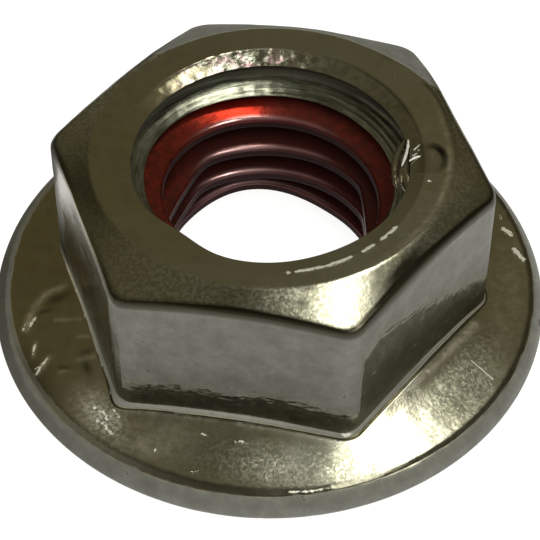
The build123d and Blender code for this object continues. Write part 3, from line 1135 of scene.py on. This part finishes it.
def fold_points(half_width, places, along=28, around=12):
    """A thin rounded fold of metal through some places, narrower towards its ends."""
    places = np.array(places)
    t = np.linspace(0, 1, along)
    knots = np.linspace(0, 1, len(places))
    degree = min(2, len(places) - 1)
    line = np.stack([np.polyval(np.polyfit(knots, line, degree), t) for line in places.T], -1)
    run = np.gradient(line, axis=0)
    side = np.cross(run, (0, 0, 1))
    side = side / np.linalg.norm(side, axis=-1, keepdims=True)
    uneven = 1 + 0.35 * wavy(line, 0.22, 6.0)
    width = (half_width * uneven * np.sqrt(np.clip(1 - (2 * t - 1) ** 4, 0.02, 1)))[:, None]
    turn = np.linspace(0, 2 * pi, around, endpoint=False)
    up = np.array((0, 0, 1))
    rings = side[:, None] * np.cos(turn)[:, None] + up * np.sin(turn)[:, None] * 0.8
    return line[:, None] + rings * width[:, None]


LOBE_HALF = 1.25


def burr_body(across=36, around=72):
    """The rounded lobe under the folds, which hangs over the mouth of the hole."""
    turn = np.linspace(0, 2 * pi, around, endpoint=False)
    tilt = np.linspace(0.02, pi - 0.02, across)[:, None]
    out = 0.36 * np.sin(tilt) * np.cos(turn)
    side = LOBE_HALF * np.sin(tilt) * np.sin(turn)
    up = 0.40 * np.cos(tilt) + 0 * turn
    out = out - 0.10 * side + 0.04 * np.sin(side * 7.0) - 0.10 * (1 - (side / LOBE_HALF) ** 2)
    out = HOLE_R - 0.16 + out
    base = radians(STAKE_DEG - 1)
    x = out * cos(base) - side * sin(base)
    y = out * sin(base) + side * cos(base)
    return np.stack([x, y, HEIGHT - 0.78 + up], -1)


def punch_burr():
    """The lobe and thin folds of metal that the punch pushed over the mouth of the hole."""
    # Painted shade on the lobe, which is also its own dark brown, and painted highlights and shade on the
    # thin folds.
    parts = [(burr_body(), -0.60)]
    parts += [(fold_points(half_width, places), tone_and_painted_light) for half_width, tone_and_painted_light, *places in FOLDS]
    faces, burr_painted_light, start = [], [], 0
    for grid, tone_and_painted_light in parts:
        rows, columns = grid.shape[:2]
        faces += tube_faces(rows, columns, start)
        burr_painted_light.append(np.full(rows * columns, tone_and_painted_light))
        start += rows * columns
    points = np.concatenate([grid.reshape(-1, 3) for grid, _ in parts])
    burr_painted_light = np.concatenate(burr_painted_light)
    marks = dict(satin=np.where(burr_painted_light > 0, 1.0, 0.25), band=OVER_BAND, tone_and_painted_light=burr_painted_light, warm_painted_reflection=1.0)
    return add_piece("punch_burr", points, plated, marks, faces)


# ---- stage ----
VIEW_SIDE = Vector((0.98475, 0.17396, 0.00358))
VIEW_UP = Vector((-0.13373, 0.74312, 0.65566))
VIEW_BACK = Vector((0.11147, -0.64621, 0.75499))
VIEW_FROM = Vector((8.6875, -50.273, 60.4462)) * MM
LENS = 108.863
FLOOR_HALF = 1.5
ROOM_COLOUR = (0.125, 0.117, 0.080, 1)
SOFTBOX_COLOUR = (1.0, 1.0, 0.93)


def add_camera():
    """The camera, with its side, up and back directions as the columns of its turn."""
    data = bpy.data.cameras.new("view")
    data.lens = LENS
    data.sensor_width = 36.0
    data.clip_start = 0.001
    data.clip_end = 10.0
    camera = add_object("view", data)
    axes = Matrix((VIEW_SIDE, VIEW_UP, VIEW_BACK)).transposed().to_4x4()
    camera.matrix_world = Matrix.Translation(VIEW_FROM) @ axes
    bpy.context.scene.camera = camera


def add_floor():
    """The plain floor under the bearing face, which isn't part of the nut."""
    mesh = bpy.data.meshes.new("floor")
    half = FLOOR_HALF
    corners = [(-half, -half, 0), (half, -half, 0), (half, half, 0), (-half, half, 0)]
    mesh.from_pydata(corners, [], [(0, 1, 2, 3)])
    mesh.materials.append(pale_table())
    add_object("floor", mesh)


def add_softbox(name, place, width, length, watts, colour=SOFTBOX_COLOUR, seen=True):
    """A rectangular light that faces the nut; one that isn't seen leaves no highlight."""
    data = bpy.data.lights.new(name, "AREA")
    data.shape = "RECTANGLE"
    data.size, data.size_y = width, length
    data.energy = watts
    data.color = colour
    light = add_object(name, data)
    away = Vector(place).normalized()
    across = Vector((0, 1, 0)).cross(away).normalized()
    axes = Matrix((across, away.cross(across), away)).transposed().to_4x4()
    light.matrix_world = Matrix.Translation(place) @ axes
    light.visible_glossy = seen
    light.visible_camera = False


def add_room():
    """Soft light from all round, and four softboxes in metres and watts."""
    world = bpy.data.worlds.new("room")
    world.use_nodes = True
    background = world.node_tree.nodes["Background"]
    background.inputs["Color"].default_value = ROOM_COLOUR
    background.inputs["Strength"].default_value = 1.0
    bpy.context.scene.world = world
    bpy.context.scene.view_settings.view_transform = "Standard"
    add_softbox("key_softbox", (0.088, 0.0224, 0.398), 0.046, 0.120, 0.156)
    add_softbox("back_softbox", (0.074, 0.121, 0.383), 0.052, 0.080, 0.118)
    add_softbox("glint_softbox", (0.237, -0.092, 0.309), 0.080, 0.140, 0.26)
    add_softbox("fill_softbox", (0.075, -0.225, 0.44), 0.5, 0.5, 2.7, colour=(1, 1, 1), seen=False)


plated = plated_steel()
tapped = tapped_steel()
dyed = dyed_wire()

nut_top()
nut_flange()
upper_thread()
lower_thread()
wire_insert()
punch_burr()

add_floor()
add_room()
add_camera()
